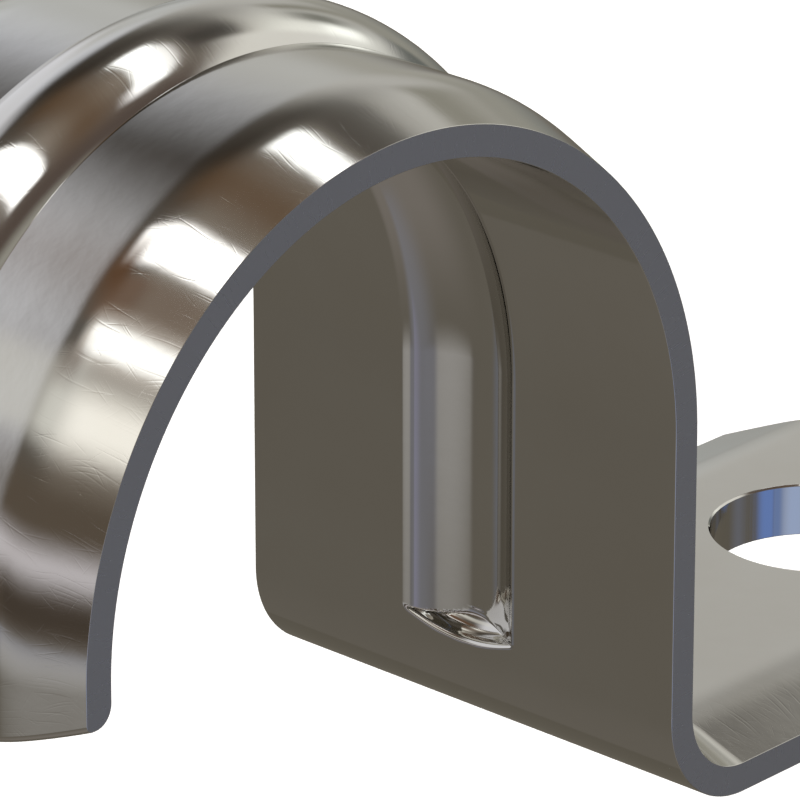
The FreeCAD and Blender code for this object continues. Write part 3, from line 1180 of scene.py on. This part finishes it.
@dataclass(frozen=True)
class ZincPlatedSteel:
    """Pressed steel strip with bright zinc plating.

    The strip is blanked, pressed and then tumbled and plated in a barrel with many
    others, which leaves a mirror-like film with fine scratches in all directions, a
    faint ripple from the press and small duller patches. The ripple is its height in mm.
    The noise scales are patches per mm: ripples about 2 mm long, dull patches of 5 mm.
    """

    name: str = "zinc-plated steel"
    colour: str = "CFCECB"
    cloudy: str = "C9C6C0"
    roughness: Span = (0.055, 0.10)
    scratches: tuple[ScratchLayer, ...] = (
        ScratchLayer(84.0, 2.0, 0.080, 0.30, 0.00045),
        ScratchLayer(104.0, 1.4, 0.066, 0.26, 0.00033),
        ScratchLayer(57.0, 0.9, 0.060, 0.18, 0.00028),
        ScratchLayer(-28.0, 1.0, 0.060, 0.14, 0.00026),
    )
    ripple: float = 0.004
    ripple_scale: float = 0.45
    patch_scale: float = 0.21
    patch_span: Span = (0.35, 0.7)
    sway: float = 0.8
    sway_scale: float = 0.3
    rubbed_bead: Span = (1.9, 2.2)
    rubbed_shoulder: Span = (4.9, 6.1)
    sheltered: float = 0.12

    def build(self) -> bpy.types.Material:
        """Make the material."""
        material, tree = new_material(self.name)
        sheet = add_node(tree, "ShaderNodeUVMap", {"uv_map": "sheet"}).outputs[0]
        patch = add_noise(tree, sheet, self.patch_scale, 5.0).outputs[0]
        film = add_node(
            tree, "ShaderNodeMixRGB", None, Fac=patch, Color1=linear(self.colour), Color2=linear(self.cloudy)
        )
        bump = add_node(
            tree, "ShaderNodeBump", None, Height=self.height(tree, sheet), Strength=1.0, Distance=MM
        )
        finish_metal(
            tree,
            Base_Color=film.outputs[0],
            Roughness=add_ramp(tree, patch, self.patch_span, self.roughness),
            Normal=bump.outputs[0],
        )
        return material

    def height(self, tree: Tree, sheet: Socket) -> Socket:
        """Add the ripple and the scratches, which sway a little so that none is quite straight.

        Args:
            tree: Node tree that gets the nodes.
            sheet: Place on the sheet in mm.

        Returns:
            Height of the surface in mm.
        """
        bend = add_noise(tree, sheet, self.sway_scale, 1.0).outputs["Color"]
        swayed = add_node(
            tree,
            "ShaderNodeVectorMath",
            {"operation": "MULTIPLY_ADD"},
            input0=bend,
            input1=(self.sway, self.sway, 0.0),
            input2=sheet,
        ).outputs[0]
        wave = add_noise(tree, sheet, self.ripple_scale, 4.0).outputs[0]
        height = add_math(tree, "MULTIPLY", wave, self.ripple)
        rubbed = self.rubbed(tree, sheet)
        for layer in self.scratches:
            height = add_math(tree, "MULTIPLY_ADD", layer.height(tree, swayed), rubbed, height)
        return height

    def rubbed(self, tree: Tree, sheet: Socket) -> Socket:
        """Tell how much other parts in the barrel could rub a place.

        The bead and the rounded shoulders stand out and take the scratches, the flats
        between them are sheltered.

        Args:
            tree: Node tree that gets the nodes.
            sheet: Place on the sheet in mm.

        Returns:
            Share of a scratch's full depth, from 0 to 1.
        """
        across = add_node(tree, "ShaderNodeSeparateXYZ", None, Vector=sheet).outputs["Y"]
        away = add_math(tree, "ABSOLUTE", across)
        bead = add_ramp(tree, away, self.rubbed_bead, (1.0, self.sheltered), "SMOOTHSTEP")
        shoulder = add_ramp(tree, away, self.rubbed_shoulder, (self.sheltered, 1.0), "SMOOTHSTEP")
        return add_math(tree, "MAXIMUM", bead, shoulder)


@dataclass(frozen=True)
class ShearedSteelEdge:
    """Edge of the strip where the die cut it, plated over.

    The cut leaves fine lines straight through the sheet's thickness, so the edge is
    even, slate grey and less bright than the faces. The lines are about 0.1 mm apart and
    a micrometre deep.
    """

    name: str = "sheared steel edge, zinc plated"
    colour: str = "C6C8CC"
    roughness: Span = (0.24, 0.34)
    line_width: float = 0.09
    line_length: float = 1.4
    line_depth: float = 0.0012

    def build(self) -> bpy.types.Material:
        """Make the material."""
        material, tree = new_material(self.name)
        sheet = add_node(tree, "ShaderNodeUVMap", {"uv_map": "sheet"}).outputs[0]
        size = (self.line_width, self.line_length, 1.0)
        lines = add_node(tree, "ShaderNodeMapping", {"vector_type": "TEXTURE"}, Vector=sheet, Scale=size)
        marks = add_noise(tree, lines.outputs[0], 1.0, 3.0).outputs[0]
        bump = add_node(
            tree, "ShaderNodeBump", None, Height=marks, Strength=1.0, Distance=self.line_depth * MM
        )
        finish_metal(
            tree,
            Base_Color=linear(self.colour),
            Roughness=add_ramp(tree, marks, (0.0, 1.0), self.roughness),
            Normal=bump.outputs[0],
        )
        return material


@dataclass(frozen=True)
class Backdrop:
    """Pale floor well below the strap and the white behind it.

    Both look white to the camera. The paper is lifted to white by a glow of its own, so
    it keeps the strap's shadow. The plating shows neither: the floor is switched out of
    reflections and the tent hides the world, so the tent's panels are reflected in their
    place. The glossy rays that the nodes count as looking therefore change nothing here.
    Lift is the glow that the tent's light on the paper lacks to white. Dim is the world's
    strength as a light, which only counts outside the tent.
    """

    drop: float = 150.0
    size: float = 3000.0
    colour: str = "F4F4F2"
    lift: float = 0.62
    dim: float = 0.35

    def build(self) -> bpy.types.Object:
        """Make the floor and the world."""
        mesh = bpy.data.meshes.new("floor")
        half = self.size / 2 * MM
        level = -self.drop * MM
        corners = [(-half, -half, level), (half, -half, level), (half, half, level), (-half, half, level)]
        mesh.from_pydata(corners, [], [(0, 1, 2, 3)])
        mesh.materials.append(self.paper())
        floor = place("floor", mesh)
        floor.visible_glossy = False
        self.world()
        return floor

    @staticmethod
    def shown(tree: Tree) -> Socket:
        """Tell the rays that look at something, 1, from those that light something, 0."""
        ray = add_node(tree, "ShaderNodeLightPath").outputs
        mirrored = add_math(tree, "MAXIMUM", ray["Is Camera Ray"], ray["Is Glossy Ray"])
        return add_math(tree, "MAXIMUM", mirrored, ray["Is Transmission Ray"])

    def paper(self) -> bpy.types.Material:
        """Make the floor's white paper: it takes the strap's shadow and is lifted to white."""
        material, tree = new_material("white paper floor")
        paper = add_node(tree, "ShaderNodeBsdfDiffuse", None, Color=linear(self.colour))
        lift = add_math(tree, "MULTIPLY", self.shown(tree), self.lift)
        glow = add_node(tree, "ShaderNodeEmission", None, Color=(1, 1, 1, 1), Strength=lift)
        both = add_node(tree, "ShaderNodeAddShader", None, input0=paper.outputs[0], input1=glow.outputs[0])
        add_node(tree, "ShaderNodeOutputMaterial", None, Surface=both.outputs[0])
        return material

    def world(self) -> None:
        """Make the world, white where it is looked at and a soft grey as a light."""
        world = bpy.data.worlds.new("studio")
        bpy.context.scene.world = world
        world.use_nodes = True
        tree = world.node_tree
        tree.nodes.clear()
        strength = add_ramp(tree, self.shown(tree), (0.0, 1.0), (self.dim, 1.0))
        back = add_node(tree, "ShaderNodeBackground", None, Color=(1, 1, 1, 1), Strength=strength)
        add_node(tree, "ShaderNodeOutputWorld", None, Surface=back.outputs[0])


def main() -> None:
    """Build the strap, its studio and the camera, and report each piece."""
    logging.basicConfig(level=logging.INFO, format="%(name)s: %(message)s")
    bpy.context.scene.view_settings.view_transform = "Standard"
    # The pipe side was sheltered in the barrel: no scratches, and half the ripple.
    sheltered = ZincPlatedSteel(
        "zinc-plated steel, pipe side", roughness=(0.05, 0.085), scratches=(), ripple=0.002
    )
    finishes = [ZincPlatedSteel().build(), sheltered.build(), ShearedSteelEdge().build()]
    strap = PipeStrap().closed_sheet().build("strap_sheet", finishes)
    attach(strap, "root")
    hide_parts("pipe_strap")
    LOG.info("strap: %d points, %d faces", len(strap.data.vertices), len(strap.data.polygons))
    camera = StudioCamera().build()
    LOG.info("camera: lens %.1f mm", camera.data.lens)
    tent = LightTent().build()
    LOG.info("light tent: %d panels, %d faces", len(PANELS), len(tent.data.polygons))
    floor = Backdrop().build()
    LOG.info("backdrop: floor %.0f mm below the pipe's axis", -floor.data.vertices[0].co.z / MM)


if __name__ == "__main__":
    main()
